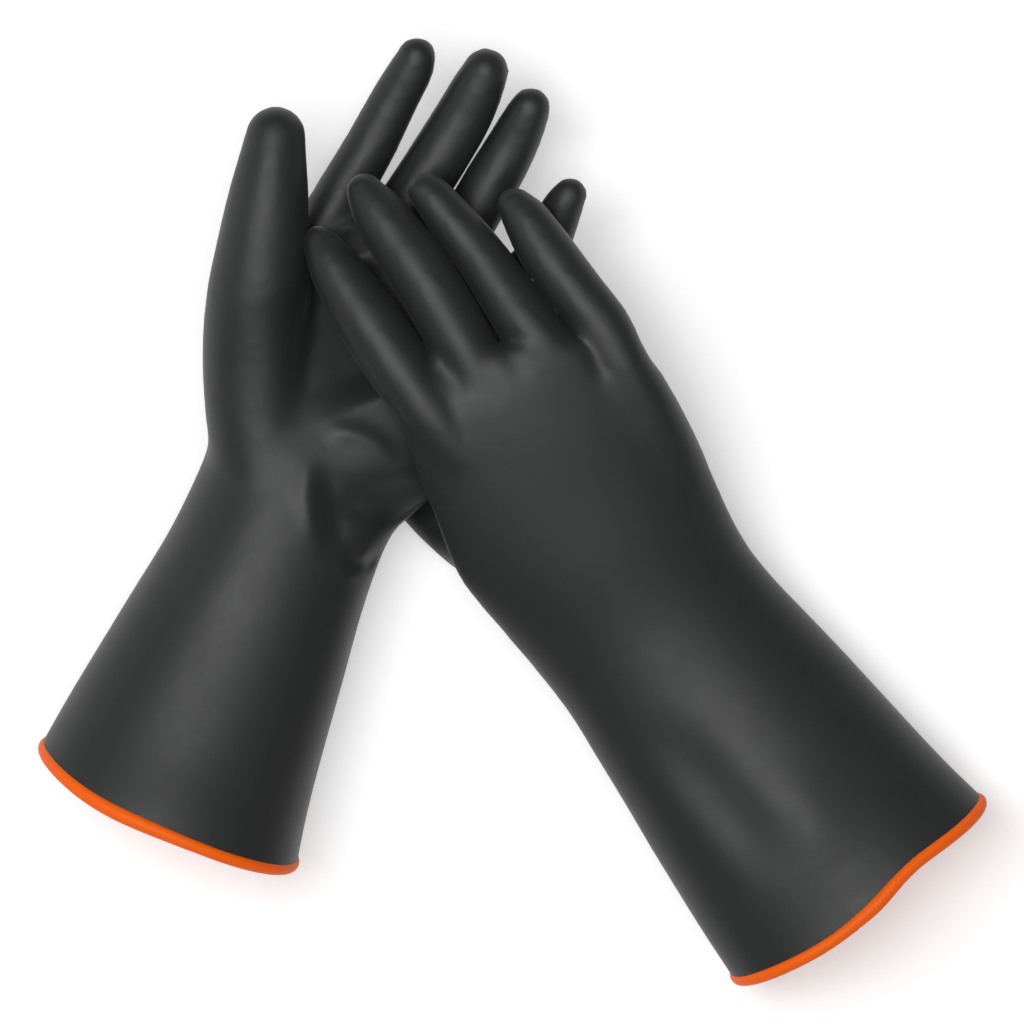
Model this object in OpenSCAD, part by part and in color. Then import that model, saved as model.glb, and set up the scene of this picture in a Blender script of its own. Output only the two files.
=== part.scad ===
// Pair of electrical insulating gloves, lying clasped on a table. Millimetres, +Z up.
// Each glove is a black outer rubber layer bonded over an orange inner layer, with the
// inner layer's rolled bead standing out round the cuff mouth.
// The left glove lies palm up. The right glove lies back up across it, with its fingers
// over the left palm and its thumb under the left hand.

/* [Rubber] */
// Thickness of the black outer layer
outer_wall = 1.4; // [0.8:0.1:2.4]
// Thickness of the orange inner layer
inner_wall = 1.2; // [0.8:0.1:2.4]
// Radius of the rolled bead
bead_r = 2.6; // [2:0.1:3.6]

/* [Girths shared by both gloves] */
// Girth round the cuff mouth
cuff_girth = 322; // [300:1:340]
// Girth half way along the gauntlet
mid_girth = 286; // [270:1:300]
// Girth round the wrist
wrist_girth = 247; // [235:1:262]
// Length of the gauntlet from wrist to cuff mouth
gauntlet_len = 140; // [110:1:160]

/* [Hand thickness] */
// Half thickness of the palm, front to back
palm_half_t = 18.5; // [15:0.5:20]
// Half thickness at the knuckles
knuckle_half_t = 14; // [10:0.5:16]

/* [Stall radii] */
// Tip radius of the index and middle stalls
long_tip_r = 9; // [8:0.1:10]
// Root radius of the index and middle stalls
long_root_r = 12; // [10:0.1:13]
// Tip radius of the little stall
little_tip_r = 8; // [7:0.1:9]
// Tip radius of the thumb stall
thumb_tip_r = 12; // [10:0.1:13]

/* [Lie of the left glove] */
// Direction of the left gauntlet, from cuff to wrist
left_gauntlet_dir = 68; // [60:0.5:76]
// Direction of the left hand, from wrist to knuckles
left_hand_dir = 64; // [58:0.5:70]
// Height of the left palm centre above the table
left_palm_z = 45; // [44:0.5:50]
// Half width of the left cuff mouth as it lies
left_cuff_half_w = 57.5; // [54:0.5:62]

/* [Lie of the right glove] */
// Direction of the right gauntlet, from cuff to wrist
right_gauntlet_dir = 126; // [120:0.5:132]
// Height of the right knuckles above the table
right_knuckle_z = 82; // [80:0.5:90]
// Half width of the right cuff mouth as it lies
right_cuff_half_w = 63.5; // [58:0.5:66]
// How far each cuff's upper lip leans out past its sides, per mm of height
cuff_lean = 0.23; // [0:0.01:0.35]

/* [Part to draw] */
// Which sub-part to draw

/* [Hidden] */
black = [0.09, 0.095, 0.095];
orange = [0.85, 0.33, 0.05];
ring_n = 24;          // points round a ring
ring_steps = 2;       // rings between two stations
stall_fn = 12;        // facets round a stall
bead_n = 10;          // points round the bead's section
wall = outer_wall + inner_wall;
bead_out = 1.4;       // the bead's centre stands this far outside the mouth plane
bead_lift = bead_r - wall / 2 + 0.4;
over = 8;             // the cavity runs this far out through the mouth
centre_shift = [1.5, 2.2, 0];

// half height of a squashed tube of a given girth and half width
function half_h(girth, half_w) = sqrt(2 * pow(girth / (2 * PI), 2) - half_w * half_w);
function heading(a) = [cos(a), sin(a), 0];
function across(a) = [sin(a), -cos(a), 0];
// a place given along and across a heading from a start
function place(start, a, along, side, z) =
    [start.x, start.y, 0] + heading(a) * along + across(a) * side + [0, 0, z];

// A station is [centre, half width, half height, heading, lean, lift].
function station(c, hw, hh, dir, lean = 0, lift = 0) = [c, hw, hh, dir, lean, lift];

// smooth curve through four neighbouring values
function flow(a, b, c, d, t) =
    0.5 * (2 * b + (c - a) * t + (2 * a - 5 * b + 4 * c - d) * t * t
    + (3 * b - 3 * c + d - a) * t * t * t);
function pick(list, i) = list[max(0, min(len(list) - 1, i))];
function between(s, i, t) =
    [for (k = [0:5]) flow(pick(s, i - 1)[k], pick(s, i)[k], pick(s, i + 1)[k],
                          pick(s, i + 2)[k], t)];
function rings_of(s) = concat(
    [for (i = [0:len(s) - 2]) for (j = [0:ring_steps - 1]) between(s, i, j / ring_steps)],
    [s[len(s) - 1]]);

// one point of a ring, with its wall offset inward; the underside rests flat on the table
function ring_point(s, off, a) = let(
    z = max(s[0].z + (s[2] - off) * sin(a), off + max(0, s[5])),
    side = (s[1] - off) * sign(cos(a)) * pow(abs(cos(a)), 0.86))
    [s[0].x, s[0].y, z] + across(s[3]) * side - heading(s[3]) * s[4] * (z - s[0].z);
function ring(s, off) = [for (k = [0:ring_n - 1]) ring_point(s, off, 360 * (k + 0.5) / ring_n)];

// closed skin through a list of equal rings
module skin(rings) {
    n = len(rings[0]);
    m = len(rings);
    points = [for (r = rings) for (p = r) p];
    sides = [for (i = [0:m - 2]) for (k = [0:n - 1]) let(a = i * n + k, b = i * n + (k + 1) % n)
             each [[a, b, b + n], [a, b + n, a + n]]];
    polyhedron(points, concat([[for (k = [n - 1:-1:0]) k]], sides,
                              [[for (k = [0:n - 1]) (m - 1) * n + k]]), convexity = 8);
}

// one stall: balls joined one to the next, each given as [place, radius]
module stall(balls, off) {
    for (i = [0:len(balls) - 2])
        hull() for (b = [balls[i], balls[i + 1]])
            translate(b[0]) sphere(r = b[1] - off, $fn = stall_fn);
}

// the solid bounded by a glove's skin, moved inward by off
module form(stations, stalls, off, out) {
    first = stations[0];
    mouth = station(first[0] - heading(first[3]) * over, first[1], first[2], first[3],
                    first[4], first[5]);
    rings = rings_of(stations);
    skin([for (s = out ? concat([mouth], rings) : rings) ring(s, off)]);
    for (balls = stalls) stall(balls, off);
}

module layer(stations, stalls, from, to) {
    difference() {
        form(stations, stalls, from, false);
        form(stations, stalls, to, true);
    }
}

// rolled bead seated on the mouth plane
module bead(first) {
    path = ring(first, wall / 2);
    n = len(path);
    up = [0, 0, 1] - heading(first[3]) * first[4];
    out = cross(across(first[3]), up) / norm(up);
    dip = asin(bead_out / bead_r);
    skin_rings = [for (k = [0:n - 1]) let(
        t = path[(k + 1) % n] - path[(k + n - 1) % n],
        side = cross(t, out) / norm(t))
        [for (j = [0:bead_n]) let(a = -dip + j * (180 + 2 * dip) / bead_n)
            path[k] + side * bead_r * cos(a) + out * (bead_out + bead_r * sin(a))]];
    m = bead_n + 1;
    polyhedron([for (r = skin_rings) for (p = r) p],
        [for (i = [0:n - 1]) for (j = [0:m - 1]) let(
            a = i * m + j, b = i * m + (j + 1) % m, c = ((i + 1) % n) * m + (j + 1) % m,
            d = ((i + 1) % n) * m + j) each [[a, b, c], [a, c, d]]], convexity = 8);
}

// ---- left glove, palm up ----
left_wrist = [-88.5, 6.5];
left_knuckle_z = left_palm_z - 2;
function on_left_hand(along, side, z) = place(left_wrist, left_hand_dir, along, side, z);
function on_left_gauntlet(along, z) = place(left_wrist, left_gauntlet_dir, -along, 0, z);
left_cuff_h = half_h(cuff_girth, left_cuff_half_w);
left_mid_h = half_h(mid_girth, 49.5);
left_wrist_h = half_h(wrist_girth, 40.5) - 1.5;
left_stations = [
    station(on_left_gauntlet(gauntlet_len, left_cuff_h - 1), left_cuff_half_w, left_cuff_h,
            left_gauntlet_dir, cuff_lean, bead_lift),
    station(on_left_gauntlet(gauntlet_len - 12, left_cuff_h - 2), left_cuff_half_w - 1.5,
            left_cuff_h, left_gauntlet_dir, cuff_lean * 0.8),
    station(on_left_gauntlet(gauntlet_len * 0.6, left_mid_h - 1.5), 49.5, left_mid_h,
            left_gauntlet_dir, cuff_lean * 0.3),
    station(on_left_gauntlet(gauntlet_len * 0.25, left_wrist_h - 0.5), 43, left_wrist_h + 1,
            left_gauntlet_dir),
    station(on_left_hand(0, 0, left_wrist_h), 40.5, left_wrist_h, left_hand_dir + 2),
    station(on_left_hand(13, 2, left_palm_z), 46, 27, left_hand_dir + 2),
    station(on_left_hand(25, 3, left_palm_z), 48.5, palm_half_t + 1.5, left_hand_dir + 4),
    station(on_left_hand(55, 4, left_palm_z), 50, palm_half_t, left_hand_dir),
    station(on_left_hand(88, 3, left_palm_z - 1), 51, palm_half_t - 1.5, left_hand_dir - 2),
    station(on_left_hand(107, 2, left_knuckle_z), 48, knuckle_half_t, left_hand_dir - 4),
    station(on_left_hand(117, 2, left_knuckle_z), 43, knuckle_half_t - 4, left_hand_dir - 4)];

// index, middle, ring, little, thumb
left_stalls = [
    [[[-80, 112, 43], long_root_r], [[-62, 148, 43], 10.8], [[-51, 164, 46], 10.3],
     [[-41.5, 185, 55], long_tip_r]],
    [[[-55, 110, 42], long_root_r], [[-34, 144, 42], 11.5], [[-22, 160.5, 46], 11],
     [[-10.5, 180.3, 56], long_tip_r]],
    [[[-30, 98, 42], long_root_r], [[-11, 130, 42], 11.2], [[-2, 147, 46], 10.6],
     [[6, 164.8, 55], long_tip_r - 0.4]],
    [[[-4, 74, 43], 11], [[8, 98, 43], 10], [[15, 112, 46], 9.4],
     [[23.3, 129.6, 54], little_tip_r]],
    [[[-102, 30, 46], 19], [[-105, 66, 55], 20.8], [[-104.5, 93, 64], 19],
     [[-101.7, 127.5, 72], 15.2], [[-97.3, 151.8, 75], thumb_tip_r]]];

// ---- right glove, back up ----
right_wrist = [54, -40];
function on_right_gauntlet(along, z) = place(right_wrist, right_gauntlet_dir, -along, 0, z);
right_cuff_h = half_h(cuff_girth, right_cuff_half_w);
right_mid_h = half_h(mid_girth, 55);
right_wrist_h = half_h(wrist_girth, 49);
right_stations = [
    station(on_right_gauntlet(gauntlet_len + 5, right_cuff_h - 1), right_cuff_half_w,
            right_cuff_h, right_gauntlet_dir, cuff_lean, bead_lift),
    station(on_right_gauntlet(gauntlet_len - 7, right_cuff_h - 1.6), right_cuff_half_w - 1.5,
            right_cuff_h, right_gauntlet_dir, cuff_lean * 0.8),
    station(on_right_gauntlet(gauntlet_len * 0.6, right_mid_h - 1), 56, right_mid_h,
            right_gauntlet_dir, cuff_lean * 0.3),
    station(on_right_gauntlet(gauntlet_len * 0.28, right_wrist_h + 4), 50.5, right_wrist_h + 3,
            right_gauntlet_dir),
    station([54, -40, right_wrist_h + 12], 49, right_wrist_h, right_gauntlet_dir - 3),
    station([39, -18, 48], 51, 23, 122),
    station([27, 3, 57], 52, 20, 121),
    station([16, 25, 69], 51.5, palm_half_t - 1, 119),
    station([5, 47, right_knuckle_z - 4], 51, palm_half_t - 3, 118),
    station([-3.5, 64, right_knuckle_z - 0.5], 48, knuckle_half_t - 1.5, 117),
    station([-8.5, 74, right_knuckle_z - 1], 43, knuckle_half_t - 5, 117)];

right_stalls = [
    [[[-35, 44, 80], 13], [[-52, 71, 77], 12.6], [[-63, 89, 76], 11.2], [[-75, 108, 76], 8.8]],
    [[[-14, 64, 80], 12.8], [[-35, 93, 77], 11.8], [[-48, 112, 76], 10.6],
     [[-58.5, 127.2, 75.5], long_tip_r]],
    [[[11, 73, 80], 12.8], [[-8, 98, 77], 11.5], [[-22, 117, 76], 10.4],
     [[-33, 129.5, 75.5], long_tip_r]],
    [[[33, 78, 80], 12], [[20, 97, 77], 11], [[10, 112, 76], 10],
     [[1, 122.5, 75], little_tip_r]],
    [[[14, -18, 46], 19], [[-10, -14.5, 29], 14.4], [[-33, 5.5, 12.9], 12.4],
     [[-54, 29.5, 12.6], 12.4], [[-71, 52, 12.2], thumb_tip_r]]];

module left_outer_layer() {
    color(black) layer(left_stations, left_stalls, 0, outer_wall);
}

module left_inner_layer() {
    color(orange) layer(left_stations, left_stalls, outer_wall, wall);
}

module left_cuff_bead() {
    color(orange) bead(left_stations[0]);
}

module right_outer_layer() {
    color(black) layer(right_stations, right_stalls, 0, outer_wall);
}

module right_inner_layer() {
    color(orange) layer(right_stations, right_stalls, outer_wall, wall);
}

module right_cuff_bead() {
    color(orange) bead(right_stations[0]);
}

translate(centre_shift) {
    left_outer_layer();
    left_inner_layer();
    left_cuff_bead();
    right_outer_layer();
    right_inner_layer();
    right_cuff_bead();
}
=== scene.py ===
import math
import bmesh
import bpy
import numpy as np
from mathutils import Matrix, Vector, noise
from mathutils.bvhtree import BVHTree


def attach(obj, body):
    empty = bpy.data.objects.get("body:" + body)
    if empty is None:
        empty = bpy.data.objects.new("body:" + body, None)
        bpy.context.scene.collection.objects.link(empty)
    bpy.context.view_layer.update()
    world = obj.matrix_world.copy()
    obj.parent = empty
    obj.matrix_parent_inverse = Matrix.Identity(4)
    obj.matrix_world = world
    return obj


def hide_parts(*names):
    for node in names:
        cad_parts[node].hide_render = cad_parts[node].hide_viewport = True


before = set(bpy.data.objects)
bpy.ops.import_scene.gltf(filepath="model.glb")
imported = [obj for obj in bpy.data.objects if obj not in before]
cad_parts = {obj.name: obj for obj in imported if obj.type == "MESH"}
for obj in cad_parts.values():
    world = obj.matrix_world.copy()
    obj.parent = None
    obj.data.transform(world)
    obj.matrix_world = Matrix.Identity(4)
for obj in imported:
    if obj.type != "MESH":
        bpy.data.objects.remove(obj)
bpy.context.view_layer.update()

print("frame loaded")

tableMiddle = Vector((1.5, 2.2, 0.0))   # mm, where the pair's own sizes are counted from
skyward = Vector((0, 0, 1))
rubber = {"outerWall": 0.0014, "innerWall": 0.0012, "grain": 0.00185, "evenTurns": 4}    # metres
perMm = 0.001


# small tools

def mm(x, y, z=0.0):
    return (Vector((x, y, z)) + tableMiddle) * perMm


def headingOf(degrees):
    return Vector((math.cos(math.radians(degrees)), math.sin(math.radians(degrees)), 0))


def easeStep(x):
    x = np.clip(x, 0, 1)
    return x * x * (3 - 2 * x)


def flow(a, b, c, d, t):    # one place on a smooth curve from b to c
    return 0.5 * (2 * b + (c - a) * t + (2 * a - 5 * b + 4 * c - d) * t * t
                  + (3 * b - 3 * c + d - a) * t ** 3)


def smoothRun(rows, steps):
    out = []
    last = len(rows) - 1
    for i in range(last):
        four = [rows[max(0, min(last, k))] for k in (i - 1, i, i + 1, i + 2)]
        out += [[flow(*vals, j / steps) for vals in zip(*four)] for j in range(steps)]
    return out + [list(rows[last])]


def ringMatrix(centre, forward, up, halfWide, halfHigh):
    side = forward.cross(up).normalized()
    lift = side.cross(forward).normalized()
    m = Matrix((side * halfWide, lift * halfHigh, -forward.normalized())).transposed().to_4x4()
    m.translation = centre
    return m


def addTube(bm, rings, sides, closed=False):
    first = bmesh.ops.create_circle(bm, cap_ends=not closed, radius=1.0, segments=sides,
                                    matrix=rings[0])["verts"]
    start = edges = list({e for v in first for e in v.link_edges})
    for before, now in zip(rings, rings[1:]):
        made = bmesh.ops.extrude_edge_only(bm, edges=edges)["geom"]
        verts = {g for g in made if isinstance(g, bmesh.types.BMVert)}
        edges = [g for g in made if isinstance(g, bmesh.types.BMEdge)
                 and g.verts[0] in verts and g.verts[1] in verts]
        bmesh.ops.transform(bm, matrix=now @ before.inverted(), verts=list(verts))
    if closed:
        bmesh.ops.bridge_loops(bm, edges=start + edges)
    else:
        bmesh.ops.edgeloop_fill(bm, edges=edges)


def meshObject(bm, name):
    mesh = bpy.data.meshes.new(name)
    bm.to_mesh(mesh)
    bm.free()
    obj = bpy.data.objects.new(name, mesh)
    bpy.context.scene.collection.objects.link(obj)
    return obj


def settle(obj):    # takes live modifiers into the mesh
    graph = bpy.context.evaluated_depsgraph_get()
    done = bpy.data.meshes.new_from_object(obj.evaluated_get(graph))
    obj.modifiers.clear()
    old, obj.data = obj.data, done
    bpy.data.meshes.remove(old)


def readPoints(obj, what="co"):
    flat = np.empty(len(obj.data.vertices) * 3)
    obj.data.vertices.foreach_get(what, flat)
    return flat.reshape(-1, 3)


def writePoints(obj, points):
    obj.data.vertices.foreach_set("co", points.ravel())
    obj.data.update()


def soften(obj, turns, amount=0.5, back=0.0, mask=1.0):
    # eases each point towards its neighbours; back pushes out again so that nothing shrinks
    points = readPoints(obj)
    pairs = np.empty(len(obj.data.edges) * 2, dtype=np.int64)
    obj.data.edges.foreach_get("vertices", pairs)
    a, b = pairs[0::2], pairs[1::2]
    count = np.bincount(pairs, minlength=len(points))
    for _ in range(turns):
        for push in (amount, -back):
            if push:
                near = [np.bincount(a, points[b, k], len(points))
                        + np.bincount(b, points[a, k], len(points)) for k in range(3)]
                mean = np.stack(near, axis=1) / count[:, None]
                points += (mean - points) * np.reshape(push * mask, (-1, 1))
    writePoints(obj, points)


creasing = {"above": 20, "facing": 0.1, "facingFade": 0.35, "endShare": 0.15, "softEdge": 1.3}


def gapToPath(points, path):
    # distance in plan to a path, and how far along it (0 to 1) the nearest place is
    best, where, run = np.full(len(points), 1e9), np.zeros(len(points)), 0.0
    flat = [np.array(mm(*p))[:2] for p in path]
    total = sum(np.linalg.norm(q - p) for p, q in zip(flat, flat[1:]))
    for p, q in zip(flat, flat[1:]):
        length = np.linalg.norm(q - p)
        t = np.clip((points[:, :2] - p) @ (q - p) / length ** 2, 0, 1)
        gap = np.linalg.norm(points[:, :2] - p - t[:, None] * (q - p), axis=1)
        nearer = gap < best
        best[nearer] = gap[nearer]
        where[nearer] = (run + t[nearer] * length) / total
        run += length
    return best, where


def press(obj, path, width, depth, ends):
    # sinks the upper side straight down along a path; a depth below zero raises a ridge
    points, normals = readPoints(obj), readPoints(obj, "normal")
    gap, where = gapToPath(points, path)
    soft = np.exp(-(gap / (width * perMm)) ** 2)
    soft *= easeStep(np.minimum(where, 1 - where) / ends + creasing["endShare"])
    soft *= easeStep((normals[:, 2] - creasing["facing"]) / creasing["facingFade"])
    soft *= points[:, 2] > creasing["above"] * perMm
    points[:, 2] -= soft * depth * perMm
    writePoints(obj, points)


def nearPath(obj, path, radius, above=0.0):
    points = readPoints(obj)
    gap = gapToPath(points, path)[0]
    inPlan = easeStep(creasing["softEdge"] - gap / (radius * perMm))
    return inPlan * easeStep((points[:, 2] - above * perMm) * 300)    # full 3.3 mm above the limit


# the two gloves, in mm from the pair's middle: gauntlet rings are x, y, z, half width, half height
# and heading, stall rings are x, y, z and radius; aside is how far (mm) and from which share of its
# length a stall is opened while the skin is formed; eased is path, radius, turns and push back

leftGlove = {
    "gauntlet": [[-151, -149, 45.0, 62.5, 45, 67],
                 [-146.2, -135.9, 45.0, 61.4, 45, 67],
                 [-142.0, -122.1, 44, 58.2, 44, 68],
                 [-131.6, -94.4, 40, 53.7, 41, 68],
                 [-114.2, -53.9, 37, 47.6, 38, 68],
                 [-100.2, -21.9, 36, 42.8, 37, 67],
                 [-88.2, 6.4, 37.5, 41.8, 33, 66],
                 [-81, 19, 44, 46.0, 26, 66],
                 [-74, 30, 45.5, 49.2, 22, 67],
                 [-60, 58, 45, 51, 19.5, 64],
                 [-47, 87, 44, 51.5, 17.5, 62],
                 [-39, 103, 43, 48, 15, 65],
                 [-32, 116, 43, 42, 10, 71]],
    "index": [[-92, 92, 43, 12.3], [-80, 113, 43, 11.9], [-67.7, 133.7, 43, 11.2],
              [-57.6, 151.1, 44, 10.7], [-48, 169.3, 48, 9.9], [-41.4, 180.6, 52, 9.2],
              [-38.9, 186.2, 54.5, 8.1]],
    "middle": [[-62, 98, 42, 12], [-50.3, 116, 42, 12.1], [-40.6, 129.5, 42.5, 12.3],
               [-31.7, 143, 44, 12.3], [-20.7, 160.8, 47, 11.9], [-14.8, 172, 51, 11.0],
               [-10.7, 180.2, 54.5, 9.6]],
    "ring": [[-38, 86, 42, 11.8], [-26, 106, 42, 11.7], [-14.6, 125, 42, 11.6],
             [-7.6, 137, 43, 11.4], [-2.1, 146.5, 44.5, 10.9], [2.2, 154.5, 47, 10.2],
             [6.2, 162.6, 51, 9.1], [7.6, 165.6, 52.5, 8.3]],
    "little": [[-12, 60, 43, 11.5], [0, 82, 43, 11.5], [8.6, 99, 43, 11], [15, 112, 45.5, 9.9],
               [20.6, 124.7, 49.5, 8.6], [23.7, 129.9, 52, 7.2]],
    "thumb": [[-91, -12, 44, 25], [-98, 12, 46.5, 23.5], [-103, 36, 50, 22.3],
              [-104.8, 60, 54, 22.2],
              [-103.6, 87, 62, 21.1], [-101.6, 107, 67.5, 18.9], [-98.9, 128, 72, 16.5],
              [-96.6, 147, 74.5, 13.3], [-95.9, 152.4, 75, 12.4]],
    "aside": {"index": (-4.5, 0.22), "middle": (-2.2, 0.2), "ring": (2.2, 0.2), "little": (3.4, 0.4)},
    "eased": [([(-118, 42), (-103, 22), (-92, -2), (-84, -20)], 30, 26, 0),
              ([(-84, 34), (-62, 30), (-46, 22)], 20, 14, 0),
              ([(-96, 92), (-60, 106), (-30, 98), (2, 76)], 24, 24, 0.49)],
    "mouth": {"place": (-140, -118.4, 44), "heading": 64.4, "lean": 0.205, "waves": [(1.6, 128, 33)]},
    "bead": {"radius": 2.55, "out": 1.4, "swell": (0.2, 112, 28)},
}
rightGlove = {
    "gauntlet": [[152, -168, 36, 65.5, 36, 126],
                 [142.7, -155.2, 35, 63.5, 35, 126],
                 [127, -136, 34, 60.8, 35, 126],
                 [105.6, -107.9, 33, 57.4, 34, 126],
                 [91.5, -88.9, 33, 54.9, 32.5, 126],
                 [77.7, -71, 33.5, 52.4, 31, 126],
                 [65.4, -54.7, 36.5, 50.4, 28.5, 124],
                 [54, -40, 41, 50.6, 26.5, 123],
                 [39.2, -17.9, 51, 53.8, 23.5, 122],
                 [26.6, 2.8, 59.5, 57.2, 21, 121],
                 [16.3, 25, 69.5, 55.6, 17.2, 119],
                 [6, 45.5, 76, 53.2, 15.2, 118],
                 [2, 58.2, 79, 49.3, 13.2, 107],
                 [-1, 65, 79.3, 43, 12, 98],
                 [-1.6, 68.3, 79, 41, 8, 98]],
    "index": [[-20, 22, 76, 12], [-30.5, 37, 79.5, 12.8], [-40.4, 51.1, 79.5, 13.6],
              [-49.6, 64.5, 78.5, 13.6], [-57.9, 77.4, 77.5, 13.3], [-67.2, 91.5, 76, 11.9],
              [-73.6, 102, 75, 10.2], [-78, 109.6, 74, 7.4]],
    "middle": [[4, 32, 76, 12], [-6, 47, 79, 12.6], [-15.4, 60, 80, 13], [-25.2, 77.5, 79.5, 13.3],
               [-37.9, 98.5, 78, 13.1], [-46.2, 110, 76.8, 12.2], [-53.2, 120, 76, 11.2],
               [-58.3, 127.6, 75.5, 9.0], [-59.8, 130, 75.3, 7.9]],
    "ring": [[27, 49, 77, 11.6], [16.6, 63, 79.5, 12.4], [5.3, 77.6, 79.5, 12.4],
             [-4.4, 91.4, 78, 11.6], [-14.1, 105.4, 76.8, 10.7],
             [-24.4, 118.2, 76, 9.8], [-31.8, 127.3, 75.4, 8.7], [-35, 130.5, 75, 7.8]],
    "little": [[77.5, -10, 45, 12.5], [71.3, 7.4, 53.5, 12], [64.8, 24.3, 62, 11.6],
               [57, 40.4, 71, 11.4], [50.4, 51.6, 76, 11.2], [45.2, 61, 79, 11.2],
               [38.2, 73.5, 79.5, 11.6], [26.7, 88.2, 78.5, 11.6], [15.2, 103.7, 77, 11.6],
               [5.6, 118.8, 75.8, 9.8], [1.2, 124.4, 75.2, 7.7]],
    "thumb": [[30, -36, 38, 20], [7, -28.5, 42, 20.5], [-7, -17.5, 35, 15.5], [-21.5, -7.5, 22, 13.6],
              [-34.6, 4.5, 13.4, 12.9], [-54, 29.5, 13.2, 12.8], [-71, 52, 12.9, 12.4]],
    "aside": {"index": (-5.5, 0.26), "middle": (-2.0, 0.24), "ring": (2.0, 0.22),
              "little": (6.0, 0.46)},
    "eased": [([(-34, 38), (-20, 50), (5, 56), (30, 54), (48, 46)], 24, 30, 0.49),
              ([(44, -62), (60, -42), (84, -24)], 34, 30, 0.4),
              ([(44, 56), (56, 36), (66, 12), (74, -8)], 26, 40, 0.1),
              ([(-32, 4), (-18, -14), (-2, -30), (16, -48)], 26, 34, 0.2)],
    "mouth": {"place": (141.5, -154.0, 36), "heading": 126, "lean": 0.235,
              "waves": [(-4.2, 52, 31), (1.3, 130, 28)]},
    "bead": {"radius": 2.65, "out": 1.5, "swell": (0.12, 82, 22)},
}
stalls = ("index", "middle", "ring", "little", "thumb")
former = {"steps": 4, "handSides": 72, "stallSides": 40, "stallFlat": 0.95, "easedAbove": 25,
          "tipTurns": (16, 32, 48, 62, 75, 85),
          "openOver": 0.16, "closeSharp": 14, "closeWithin": 1.5, "closeFade": 0.3}


def stallRun(glove, stall):
    # the stall's places and radii in metres, opened past its root, and how far each place moved
    run = smoothRun(glove[stall], former["steps"])
    places = [mm(*ring[:3]) for ring in run]
    amount, root = glove["aside"].get(stall, (0.0, 0.0))
    lengths = np.cumsum([0.0] + [(q - p).length for p, q in zip(places, places[1:])])
    across = headingOf(glove["gauntlet"][-1][5]).cross(skyward)
    opening = [float(easeStep((far / lengths[-1] - root) / former["openOver"])) for far in lengths]
    shifts = [across * (amount * perMm * share) for share in opening]
    places = [p + s for p, s in zip(places, shifts)]
    return places, [ring[3] * perMm for ring in run], shifts


def gloveForm(glove, name):
    bm = bmesh.new()
    rings = [ringMatrix(mm(x, y, z), headingOf(turn), skyward, wide * perMm, high * perMm)
             for x, y, z, wide, high, turn in smoothRun(glove["gauntlet"], former["steps"])]
    addTube(bm, rings, former["handSides"])
    flat = former["stallFlat"]
    for stall in stalls:
        places, radii, _ = stallRun(glove, stall)
        rings = []
        for i, (place, r) in enumerate(zip(places, radii)):
            forward = places[min(i + 1, len(places) - 1)] - places[max(i - 1, 0)]
            rings.append(ringMatrix(place, forward, skyward, r, r * flat))
        forward = (places[-1] - places[-2]).normalized()
        for turn in former["tipTurns"]:    # the round tip
            a = math.radians(turn)
            rings.append(ringMatrix(places[-1] + forward * radii[-1] * math.sin(a), forward, skyward,
                                    radii[-1] * math.cos(a), radii[-1] * math.cos(a) * flat))
        addTube(bm, rings, former["stallSides"])
    bmesh.ops.recalc_face_normals(bm, faces=bm.faces[:])
    obj = meshObject(bm, name)
    join = obj.modifiers.new("join", "REMESH")
    join.mode = "VOXEL"
    join.voxel_size = rubber["grain"]
    settle(obj)
    soften(obj, rubber["evenTurns"])
    closeStalls(obj, glove)
    for path, radius, turns, back in glove["eased"]:
        soften(obj, turns, back=back, mask=nearPath(obj, path, radius, above=former["easedAbove"]))
    print(name, "formed,", len(obj.data.vertices), "points")
    return obj


def closeStalls(obj, glove):
    # lets the opened stalls back to where they lie
    points = readPoints(obj)
    total, move = np.full(len(points), 1e-12), np.zeros((len(points), 3))
    for stall in stalls:
        nearest, shift = np.full(len(points), 1e9), np.zeros((len(points), 3))
        places, radii, shifts = stallRun(glove, stall)
        line = np.array([tuple(p) for p in places])
        aside = np.array([tuple(s) for s in shifts])
        size = np.array(radii)
        for k in range(len(line) - 1):
            span = line[k + 1] - line[k]
            t = np.clip((points - line[k]) @ span / (span @ span), 0, 1)
            gap = np.linalg.norm(points - line[k] - t[:, None] * span, axis=1)
            gap = gap / (size[k] + (size[k + 1] - size[k]) * t)
            nearer = gap < nearest
            nearest[nearer] = gap[nearer]
            here = aside[k] + t[:, None] * (aside[k + 1] - aside[k])
            shift[nearer] = here[nearer]
        share = np.exp(-former["closeSharp"] * nearest)
        total += share
        within = easeStep((former["closeWithin"] - nearest) / former["closeFade"])
        move += shift * (share * within)[:, None]
    writePoints(obj, points - move / total[:, None])


left = gloveForm(leftGlove, "leftOuterLayer")
right = gloveForm(rightGlove, "rightOuterLayer")


# folds: a path in mm, then width, depth (below zero for a ridge) and how its ends fade

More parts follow.
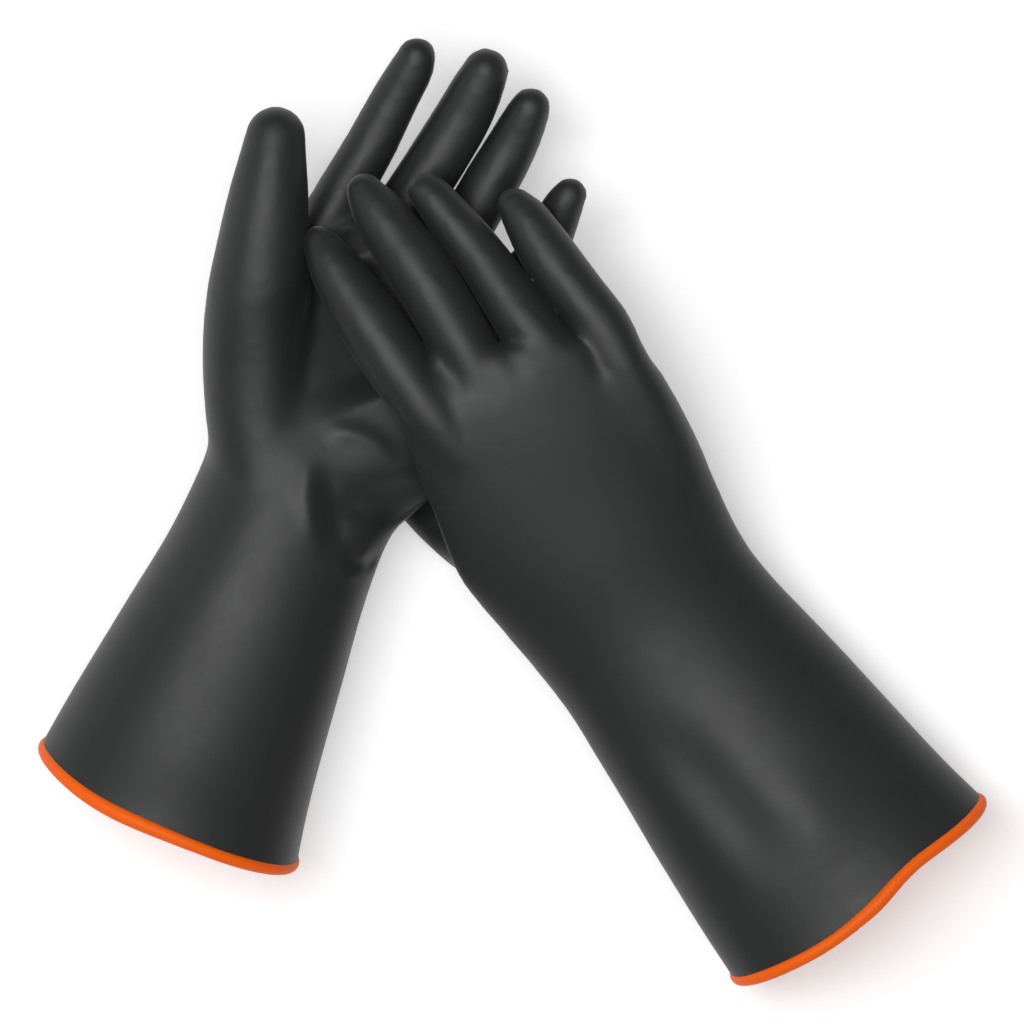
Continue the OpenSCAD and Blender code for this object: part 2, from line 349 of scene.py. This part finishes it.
leftFolds = [
    ([(-72, 100), (-60, 72), (-50, 48)], 24, 9.5, 0.3),
    ([(-53, 16), (-50, 4), (-53, -8)], 14, 7.5, 0.5),
    ([(-65, 19), (-63.5, 5), (-63, -9)], 7, 3.4, 0.5),
    ([(-73.5, 24), (-73, 8), (-71.5, -6), (-69.5, -20)], 6.5, 3.6, 0.4),
    ([(-83, 24), (-83.5, 6), (-80, -14)], 4, -1.0, 0.4),
    ([(-77, 29), (-70.5, 32.5), (-64.4, 32), (-58.2, 29), (-52, 24), (-46.7, 19.5)], 4.5, -1.7, 0.4),
    ([(-53, -11), (-58, -15), (-63, -19.5)], 2.6, -1.5, 0.3),
    ([(-53.5, -16), (-60.5, -24)], 3.2, 3.0, 0.4),
    ([(-72, -20), (-67.8, -24.3), (-64, -30)], 3, -1.0, 0.4),
    ([(-69, -17), (-62.5, -24.5)], 2.6, 1.4, 0.4),
    ([(-71.5, 112.3), (-67.5, 115), (-63.5, 116)], 1.6, 0.6, 0.4),
]
rightFolds = [
    ([(-31, 66), (-26, 57), (-18, 46)], 4, 1.0, 0.5),
    ([(-7, 74), (-2, 65), (5, 54)], 4, 1.0, 0.5),
    ([(29, 72), (33, 64), (38, 52)], 4, 0.8, 0.5),
    ([(50, -86), (70, -99), (90, -122), (112, -152)], 12, 2.4, 0.5),
    ([(104, -100), (118, -122), (134, -146)], 16, -1.2, 0.5),
    ([(-31, 6), (-30, 1)], 3, 1.4, 0.5),
]


heelFlat = {"path": [(-60, 17), (-53, 4), (-57, -8)], "radius": 10, "turns": 22}


def crease(obj, folds):
    for path, width, depth, ends in folds:
        press(obj, path, width, depth, ends)


crease(left, leftFolds)
soften(left, heelFlat["turns"],
       mask=nearPath(left, heelFlat["path"], heelFlat["radius"], above=former["easedAbove"]))
crease(right, rightFolds)
print("folds pressed")


rim = {"waveReach": 0.03, "bedReach": 0.02, "beadRoom": 0.0013, "tableGap": 0.00005, "weld": 0.0003}
lining = {"gap": 0.00005, "easeTurns": 4, "easeReach": 0.02, "sameSide": 0.5, "leastSunk": 0.85}
roll = {"places": 180, "sides": 20, "uneven": 0.05, "unevenScale": 45, "swellOut": 0.002}


def mouthFrame(glove):
    # middle of the mouth, the way out of it, its own up and across, and the cut's normal
    turn, lean = glove["mouth"]["heading"], glove["mouth"]["lean"]
    out = -headingOf(turn)
    up = (skyward + out * lean).normalized()
    across = headingOf(turn - 90)
    return mm(*glove["mouth"]["place"]), out, up, across, (out - skyward * lean).normalized()


def roundTheMouth(points, glove):
    centre, _, up, across, normal = [np.array(v) for v in mouthFrame(glove)]
    turn = np.degrees(np.arctan2((points - centre) @ up, (points - centre) @ across)) % 360
    return turn, -(points - centre) @ normal


def humps(turn, waves):
    total = np.zeros(len(turn))
    for amount, at, width in waves:
        off = (turn - at + 180) % 360 - 180
        total += amount * np.exp(-(off / width) ** 2)
    return total


def cutMouth(obj, glove):
    centre, out, _, _, normal = mouthFrame(glove)
    bm = bmesh.new()
    bm.from_mesh(obj.data)
    everything = bm.verts[:] + bm.edges[:] + bm.faces[:]
    bmesh.ops.bisect_plane(bm, geom=everything, dist=1e-6, plane_co=centre, plane_no=normal,
                           clear_outer=True)
    bmesh.ops.remove_doubles(bm, verts=bm.verts[:], dist=rim["weld"])
    bmesh.ops.recalc_face_normals(bm, faces=bm.faces[:])
    bm.to_mesh(obj.data)
    bm.free()
    points = readPoints(obj)
    turn, back = roundTheMouth(points, glove)
    near = easeStep(1 - back / rim["waveReach"])
    points += np.array(out) * (humps(turn, glove["mouth"]["waves"]) * near * perMm)[:, None]
    underRim = easeStep(1 - back / rim["bedReach"])    # room for the bead under the rim
    rest = rim["tableGap"] + rim["beadRoom"] * underRim
    points[:, 2] = np.maximum(points[:, 2], rest)
    writePoints(obj, points)


def rimLoop(obj, glove, count):
    # evenly turned places along the cut edge
    used = {}
    for face in obj.data.polygons:
        for key in face.edge_keys:
            used[key] = used.get(key, 0) + 1
    edge = sorted({i for key, faces in used.items() if faces == 1 for i in key})
    points = readPoints(obj)[edge]
    turn = roundTheMouth(points, glove)[0]
    order = np.argsort(turn)
    want = np.arange(count) * 360 / count
    loop = np.stack([np.interp(want, turn[order], points[order, k], period=360)
                     for k in range(3)], axis=1)
    for _ in range(2):
        loop = (np.roll(loop, 1, axis=0) + 2 * loop + np.roll(loop, -1, axis=0)) / 4
    return loop, want


def withWall(obj, thickness):
    wall = obj.modifiers.new("wall", "SOLIDIFY")
    wall.thickness = thickness
    wall.offset = -1
    settle(obj)


def innerLayer(obj, glove, name):
    coat = bpy.data.objects.new(name, obj.data.copy())
    bpy.context.scene.collection.objects.link(coat)
    sunk = rubber["outerWall"] + lining["gap"]
    fromMouth = roundTheMouth(readPoints(coat), glove)[1]
    soften(coat, lining["easeTurns"], mask=easeStep(fromMouth / lining["easeReach"]))
    normals = readPoints(coat, "normal")
    points = readPoints(coat) - normals * sunk
    skin = BVHTree.FromObject(obj, bpy.context.evaluated_depsgraph_get())
    for i, place in enumerate(points):    # tucks in what a tight crotch would let through
        spot, facing = skin.find_nearest(Vector(place))[:2]
        ownSide = facing.dot(Vector(normals[i])) > lining["sameSide"]
        if ownSide and (Vector(place) - spot).dot(facing) > -lining["leastSunk"] * sunk:
            points[i] = spot - facing * sunk
    writePoints(coat, points)
    withWall(coat, rubber["innerWall"])
    return coat


def cuffBead(obj, glove, name):
    _, out, _, _, normal = mouthFrame(glove)
    sizes = glove["bead"]
    loop, turn = rimLoop(obj, glove, roll["places"])
    swell = 1 + humps(turn, [sizes["swell"]])
    half = (rubber["outerWall"] + rubber["innerWall"]) / 2
    middle = Vector(loop.mean(axis=0))
    places, bm = [], bmesh.new()
    for place in loop:
        inward = middle - Vector(place)
        inward = (inward - normal * inward.dot(normal)).normalized()
        places.append(Vector(place) + inward * half + out * (sizes["out"] * perMm))
    rings = []
    for i, place in enumerate(places):
        forward = places[(i + 1) % len(places)] - places[i - 1]
        uneven = 1 + roll["uneven"] * noise.noise(place * roll["unevenScale"])
        r = sizes["radius"] * perMm * swell[i] * uneven
        rings.append(ringMatrix(place + out * (swell[i] - 1) * roll["swellOut"], forward, skyward, r, r))
    addTube(bm, rings, roll["sides"], closed=True)
    bmesh.ops.recalc_face_normals(bm, faces=bm.faces[:])
    bead = meshObject(bm, name)
    print(name, "rolled")
    return bead


cutMouth(left, leftGlove)
cutMouth(right, rightGlove)
leftBead = cuffBead(left, leftGlove, "leftCuffBead")
rightBead = cuffBead(right, rightGlove, "rightCuffBead")
leftLining = innerLayer(left, leftGlove, "leftInnerLayer")
rightLining = innerLayer(right, rightGlove, "rightInnerLayer")
withWall(left, rubber["outerWall"])
withWall(right, rubber["outerWall"])
print("layers built")


# materials

def newNode(tree, kind, links=(), **values):
    node = tree.nodes.new(kind)
    for name, value in values.items():
        setattr(node, name, value)
    for socket, value in dict(links).items():
        if isinstance(value, bpy.types.NodeSocket):
            tree.links.new(value, node.inputs[socket])
        else:
            node.inputs[socket].default_value = value
    return node


blackLook = {"tones": ((0.0125, 0.0143, 0.0152), (0.0172, 0.0178, 0.0172)), "rough": (0.475, 0.53),
             "grain": 0.12, "sheen": 0.03, "gloss": 0.44}
orangeLook = {"tones": ((0.72, 0.125, 0.008), (0.80, 0.165, 0.014)), "rough": (0.40, 0.52),
              "grain": 0.10, "sheen": 0.0, "gloss": 0.44}
beadLook = {"tones": ((0.90, 0.118, 0.001), (0.96, 0.140, 0.002)), "rough": (0.46, 0.56),
            "grain": 0.08, "sheen": 0.0, "gloss": 0.2}


def rubberMaterial(name, look):
    mat = bpy.data.materials.new(name)
    mat.use_nodes = True
    tree = mat.node_tree
    shader = tree.nodes["Principled BSDF"]
    spots = newNode(tree, "ShaderNodeTexCoord").outputs["Object"]
    bloom = newNode(tree, "ShaderNodeTexNoise", {"Vector": spots, "Scale": 16.0, "Detail": 5.0,
                                                 "Roughness": 0.6, "Distortion": 0.4}).outputs["Fac"]
    tone = newNode(tree, "ShaderNodeMix", {"Factor": bloom}, data_type="RGBA")
    tone.inputs["A"].default_value = (*look["tones"][0], 1)
    tone.inputs["B"].default_value = (*look["tones"][1], 1)
    tree.links.new(tone.outputs["Result"], shader.inputs["Base Color"])
    streaks = newNode(tree, "ShaderNodeTexNoise", {"Vector": spots, "Scale": 55.0, "Detail": 4.0,
                                                   "Roughness": 0.6, "Distortion": 0.7}).outputs["Fac"]
    shine = newNode(tree, "ShaderNodeMapRange", {"Value": streaks, "From Min": 0.3, "From Max": 0.7,
                                                 "To Min": look["rough"][0], "To Max": look["rough"][1]})
    tree.links.new(shine.outputs["Result"], shader.inputs["Roughness"])
    fine = newNode(tree, "ShaderNodeTexNoise", {"Vector": spots, "Scale": 1400.0, "Detail": 2.0})
    pits = newNode(tree, "ShaderNodeBump", {"Strength": look["grain"], "Distance": 0.0002,
                                            "Height": fine.outputs["Fac"]})
    soft = newNode(tree, "ShaderNodeTexNoise", {"Vector": spots, "Scale": 70.0, "Detail": 3.0})
    drift = newNode(tree, "ShaderNodeBump", {"Strength": 0.05, "Distance": 0.0006,
                                             "Height": soft.outputs["Fac"],
                                             "Normal": pits.outputs["Normal"]})
    tree.links.new(drift.outputs["Normal"], shader.inputs["Normal"])
    shader.inputs["Specular IOR Level"].default_value = look["gloss"]
    shader.inputs["Sheen Weight"].default_value = look["sheen"]
    shader.inputs["Sheen Roughness"].default_value = 0.5
    return mat


black = rubberMaterial("blackRubber", blackLook)
orange = rubberMaterial("orangeRubber", orangeLook)
beadOrange = rubberMaterial("beadRubber", beadLook)

pieces = (
    (left, "left_glove", "left_outer_layer", "black_rubber", black),
    (leftLining, "left_glove", "left_inner_layer", "orange_rubber", orange),
    (leftBead, "left_glove", "left_cuff_bead", "bead_rubber", beadOrange),
    (right, "right_glove", "right_outer_layer", "black_rubber", black),
    (rightLining, "right_glove", "right_inner_layer", "orange_rubber", orange),
    (rightBead, "right_glove", "right_cuff_bead", "bead_rubber", beadOrange),
)
for piece, body, node, slot, mat in pieces:
    piece.data.polygons.foreach_set("use_smooth", [True] * len(piece.data.polygons))
    piece.data.materials.clear()
    piece.data.materials.append(mat)
    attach(piece, body)
    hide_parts(node)
    print(piece.name, len(piece.data.polygons), "faces")


# table, light and camera

studio = {"tableHalf": 3.0, "tableGlow": 0.38, "worldLight": 0.16,
          "camera": 3.0, "pictureWidth": 0.41984, "gloveHeight": 0.045, "sensor": 36}

bm = bmesh.new()
bmesh.ops.create_grid(bm, x_segments=1, y_segments=1, size=studio["tableHalf"])
table = meshObject(bm, "table")
pale = bpy.data.materials.new("paleTable")
pale.use_nodes = True
paleShader = pale.node_tree.nodes["Principled BSDF"]
paleShader.inputs["Base Color"].default_value = (0.86, 0.86, 0.86, 1)
paleShader.inputs["Roughness"].default_value = 0.9
paleShader.inputs["Specular IOR Level"].default_value = 0.1
paleShader.inputs["Emission Color"].default_value = (1, 1, 1, 1)
paleShader.inputs["Emission Strength"].default_value = studio["tableGlow"]
table.data.materials.append(pale)

world = bpy.data.worlds.new("studio")
bpy.context.scene.world = world
world.use_nodes = True
world.node_tree.nodes["Background"].inputs["Color"].default_value = (1, 1, 1, 1)
world.node_tree.nodes["Background"].inputs["Strength"].default_value = studio["worldLight"]


def softbox(name, place, aim, size, power):
    data = bpy.data.lights.new(name, "AREA")
    data.shape = "RECTANGLE"
    data.size, data.size_y = size
    data.energy = power
    obj = bpy.data.objects.new(name, data)
    obj.location = place
    obj.rotation_euler = (Vector(aim) - Vector(place)).to_track_quat("-Z", "Y").to_euler()
    bpy.context.scene.collection.objects.link(obj)


softbox("overhead", (-0.36, 0.12, 1.7), (0, 0, 0), (0.7, 1.1), 20)
softbox("side", (-1.5, 0.3, 0.5), (0, 0, 0.05), (0.9, 0.6), 2.5)
softbox("fill", (0.45, -0.7, 1.6), (0, 0, 0), (0.9, 0.9), 3.5)

lens = bpy.data.cameras.new("camera")
camera = bpy.data.objects.new("camera", lens)
bpy.context.scene.collection.objects.link(camera)
lens.sensor_width = studio["sensor"]
lens.lens = studio["sensor"] * (studio["camera"] - studio["gloveHeight"]) / studio["pictureWidth"]
lens.clip_end = 20
camera.location = tableMiddle * perMm + skyward * studio["camera"]
bpy.context.scene.camera = camera
bpy.context.scene.view_settings.view_transform = "Standard"
